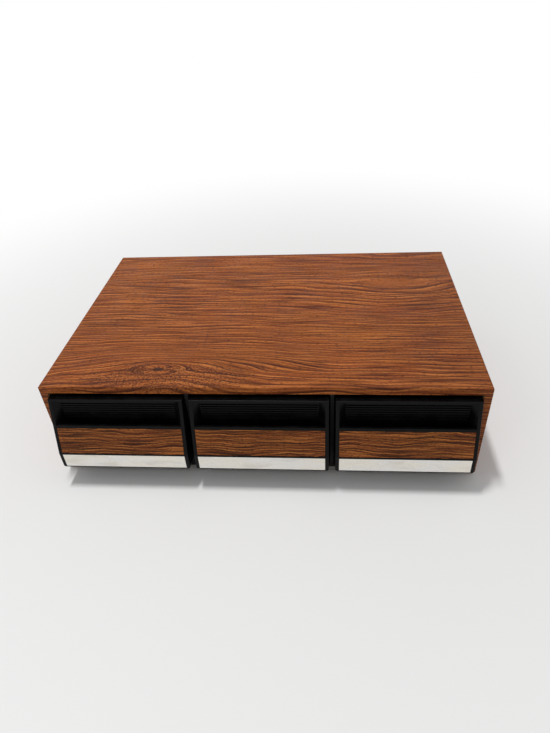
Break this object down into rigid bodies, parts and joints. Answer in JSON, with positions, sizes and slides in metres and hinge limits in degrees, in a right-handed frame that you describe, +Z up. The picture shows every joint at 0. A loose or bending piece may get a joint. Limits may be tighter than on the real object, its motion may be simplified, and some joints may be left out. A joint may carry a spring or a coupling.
{
  "type": "cassette storage drawer",
  "caption": "Low tabletop cabinet in woodgrain finish with drawers side by side for audio cassettes; each sliding drawer has a black moulded front with a finger scoop.",
  "frame": {"origin": "on the table, under the middle of the closed cabinet's outline, drawer fronts included", "axes": "+X across the cabinet to the viewer's right, +Y from the drawer fronts to the back, +Z up"},
  "size_m": [0.382, 0.2688, 0.101],
  "materials": {
    "woodgrain_board": "printed oak woodgrain vinyl on particle board, satin",
    "woodgrain_inlay": "printed oak woodgrain on a thin plate, satin",
    "hardboard": "brown hardboard, matte",
    "black_board": "black faced hardboard, matte",
    "black_plastic": "black moulded styrene, satin",
    "silver_strip": "bright anodised strip",
    "rubber": "matte",
    "steel": "plated wire staples"
  },
  "bodies": {
    "cabinet": {"top_panel": "woodgrain_board", "left_side_panel": "woodgrain_board", "right_side_panel": "woodgrain_board", "bottom_panel": "hardboard", "back_panel": "hardboard", "partition_1": "black_board", "partition_2": "black_board", "back_panel_staples": "steel", "feet": "rubber"},
    "drawer_1": {"drawer_1_tray": "black_plastic", "drawer_1_front": "black_plastic", "drawer_1_insert": "woodgrain_inlay", "drawer_1_strip": "silver_strip"},
    "drawer_2": {"drawer_2_tray": "black_plastic", "drawer_2_front": "black_plastic", "drawer_2_insert": "woodgrain_inlay", "drawer_2_strip": "silver_strip"},
    "drawer_3": {"drawer_3_tray": "black_plastic", "drawer_3_front": "black_plastic", "drawer_3_insert": "woodgrain_inlay", "drawer_3_strip": "silver_strip"}
  },
  "joints": [
    {"name": "drawer_1_slide", "type": "slide", "parent": "cabinet", "child": "drawer_1", "axis": [0, -1, 0], "range_m": [0, 0.2]},
    {"name": "drawer_2_slide", "type": "slide", "parent": "cabinet", "child": "drawer_2", "axis": [0, -1, 0], "range_m": [0, 0.2]},
    {"name": "drawer_3_slide", "type": "slide", "parent": "cabinet", "child": "drawer_3", "axis": [0, -1, 0], "range_m": [0, 0.2]}
  ]
}
